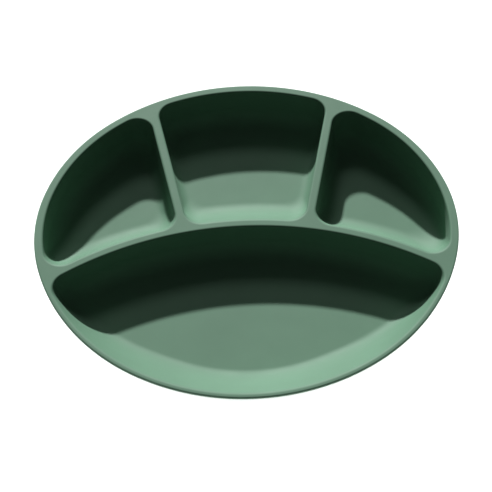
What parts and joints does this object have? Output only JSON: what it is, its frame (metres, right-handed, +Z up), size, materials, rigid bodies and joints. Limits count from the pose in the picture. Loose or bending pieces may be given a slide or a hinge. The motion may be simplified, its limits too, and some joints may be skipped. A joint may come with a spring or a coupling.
{
  "type": "divided suction plate",
  "caption": "Shallow silicone toddler plate with an arched divider, straight dividers and suction cups with release tabs underneath.",
  "frame": {"origin": "on the table, under the middle of the plate", "axes": "+Z up, -Y towards the eater, +X to the eater's right"},
  "size_m": [0.2142, 0.1922, 0.032],
  "materials": {
    "plate_silicone": "matte moulded silicone, sage green",
    "cup_silicone": "softer silicone, slightly translucent, sage green"
  },
  "bodies": {
    "plate": {"plate_body": "plate_silicone"},
    "cup_front_left": {"suction_cup_front_left": "cup_silicone"},
    "tab_front_left": {"release_tab_front_left": "cup_silicone"},
    "cup_front_right": {"suction_cup_front_right": "cup_silicone"},
    "tab_front_right": {"release_tab_front_right": "cup_silicone"},
    "cup_back_left": {"suction_cup_back_left": "cup_silicone"},
    "tab_back_left": {"release_tab_back_left": "cup_silicone"},
    "cup_back_right": {"suction_cup_back_right": "cup_silicone"},
    "tab_back_right": {"release_tab_back_right": "cup_silicone"}
  },
  "joints": [
    {"name": "press_front_left", "type": "slide", "parent": "plate", "child": "cup_front_left", "axis": [0, 0, 1], "range_m": [0, 0.002], "stiffness_N_per_m": 2000, "springref_m": -0.001},
    {"name": "press_front_right", "type": "slide", "parent": "plate", "child": "cup_front_right", "axis": [0, 0, 1], "range_m": [0, 0.002], "stiffness_N_per_m": 2000, "springref_m": -0.001},
    {"name": "press_back_left", "type": "slide", "parent": "plate", "child": "cup_back_left", "axis": [0, 0, 1], "range_m": [0, 0.002], "stiffness_N_per_m": 2000, "springref_m": -0.001},
    {"name": "press_back_right", "type": "slide", "parent": "plate", "child": "cup_back_right", "axis": [0, 0, 1], "range_m": [0, 0.002], "stiffness_N_per_m": 2000, "springref_m": -0.001},
    {"name": "lift_front_left", "type": "hinge", "parent": "cup_front_left", "child": "tab_front_left", "pos_m": [-0.06375, -0.04516, 0.00105], "axis": [-0.578, 0.816, 0], "range_deg": [0, 25], "stiffness_Nm_per_rad": 0.01},
    {"name": "lift_front_right", "type": "hinge", "parent": "cup_front_right", "child": "tab_front_right", "pos_m": [0.06375, -0.04516, 0.00105], "axis": [-0.578, -0.816, 0], "range_deg": [0, 25], "stiffness_Nm_per_rad": 0.01},
    {"name": "lift_back_left", "type": "hinge", "parent": "cup_back_left", "child": "tab_back_left", "pos_m": [-0.06375, 0.04516, 0.00105], "axis": [0.578, 0.816, 0], "range_deg": [0, 25], "stiffness_Nm_per_rad": 0.01},
    {"name": "lift_back_right", "type": "hinge", "parent": "cup_back_right", "child": "tab_back_right", "pos_m": [0.06375, 0.04516, 0.00105], "axis": [0.578, -0.816, 0], "range_deg": [0, 25], "stiffness_Nm_per_rad": 0.01}
  ]
}
